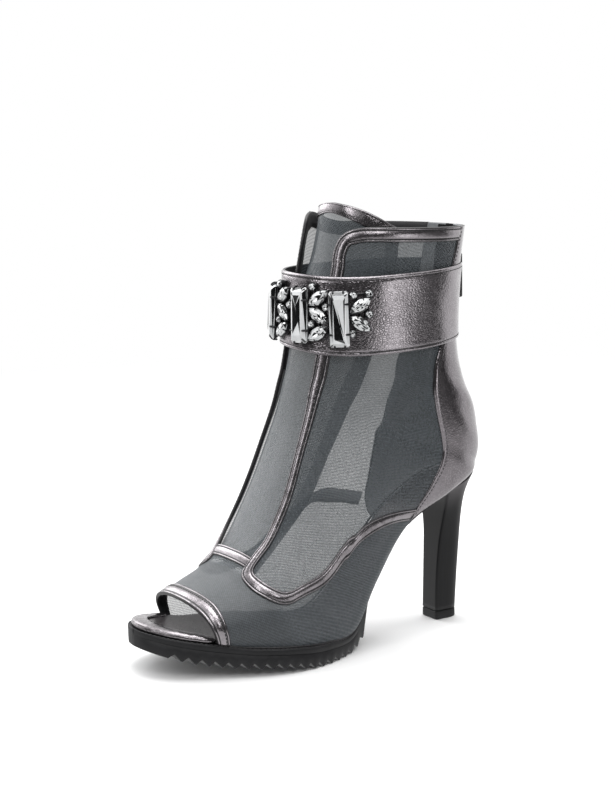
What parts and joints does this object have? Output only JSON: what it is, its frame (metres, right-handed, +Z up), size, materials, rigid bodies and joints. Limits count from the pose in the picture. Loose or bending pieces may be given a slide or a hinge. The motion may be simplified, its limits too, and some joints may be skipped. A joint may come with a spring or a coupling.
{
  "type": "ankle boot",
  "caption": "Open-toe ankle boot of sheer mesh and metallic leather with a high slim heel, a lugged platform, a back zip and a crystal-set ankle strap; left foot.",
  "frame": {"origin": "centre of the heel tip's bottom face, on the floor", "axes": "+X towards the lateral (outer) side, -Y towards the toe, +Z up"},
  "size_m": [0.0869, 0.2223, 0.2499],
  "materials": {
    "mesh_fabric": "sheer grey mesh over a lining, bound in pewter metallic leather",
    "insole_leather": "satin metallic, pewter rim at the open toe",
    "sole_rubber": "matte black",
    "heel_cover": "satin black fading to pewter at the seat",
    "top_piece_rubber": "matte black",
    "strap_leather": "grained pewter metallic",
    "dark_metal": "black plated",
    "zip_tape": "black woven tape with black teeth",
    "pull_leather": "black smooth",
    "crystal": "clear cut crystal"
  },
  "bodies": {
    "boot": {"upper": "mesh_fabric", "tongue": "mesh_fabric", "insole": "insole_leather", "outsole": "sole_rubber", "heel": "heel_cover", "heel_tip": "top_piece_rubber", "strap": "strap_leather", "setting": "dark_metal", "zip_tape": "zip_tape", "zip_slider": "dark_metal", "baguette_1": "crystal", "baguette_2": "crystal", "baguette_3": "crystal", "marquise_1": "crystal", "marquise_2": "crystal", "marquise_3": "crystal", "marquise_4": "crystal", "marquise_5": "crystal", "marquise_6": "crystal", "marquise_7": "crystal", "marquise_8": "crystal", "marquise_9": "crystal", "marquise_10": "crystal", "round_1": "crystal", "round_2": "crystal", "round_3": "crystal", "round_4": "crystal", "round_5": "crystal", "round_6": "crystal", "round_7": "crystal", "round_8": "crystal", "round_9": "crystal", "round_10": "crystal", "round_11": "crystal", "round_12": "crystal", "round_13": "crystal", "round_14": "crystal"},
    "pull": {"zip_pull": "pull_leather"}
  },
  "joints": [
    {"name": "zip_pull_hinge", "type": "hinge", "parent": "boot", "child": "pull", "pos_m": [0, 0.01444, 0.22387], "axis": [1, 0, 0], "range_deg": [0, 160]}
  ]
}
